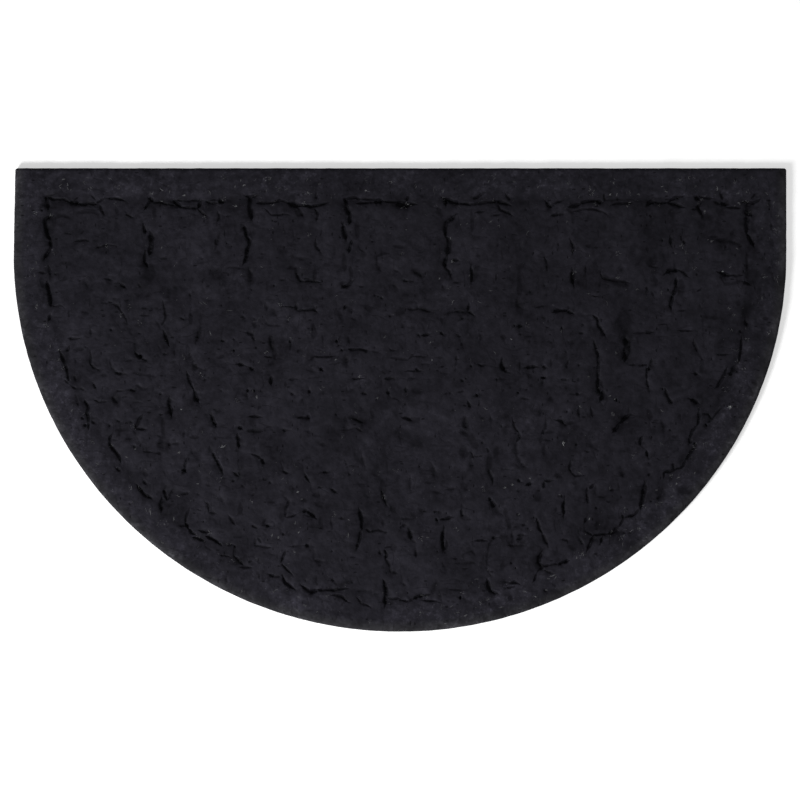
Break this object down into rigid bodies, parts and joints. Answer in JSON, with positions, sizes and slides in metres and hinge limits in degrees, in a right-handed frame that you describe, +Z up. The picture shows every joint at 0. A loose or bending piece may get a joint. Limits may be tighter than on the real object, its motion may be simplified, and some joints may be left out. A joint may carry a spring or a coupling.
{
  "type": "half-moon rubber doormat",
  "caption": "Half-moon doormat pressed in one piece from black crumb rubber, flat, with a plain rim, a rounded upper edge and shallow fissures along the lines of its blocks.",
  "frame": {"origin": "on the floor, under the middle of the mat's bounding box", "axes": "+X along the straight back edge, +Y from the round side towards the straight back edge, +Z up"},
  "size_m": [0.75, 0.45, 0.008],
  "materials": {
    "rubber": "matt pressed crumb rubber",
    "fibre": "loose pale fibres pressed into the rubber"
  },
  "bodies": {
    "root": {"mat": "rubber"}
  },
  "joints": []
}
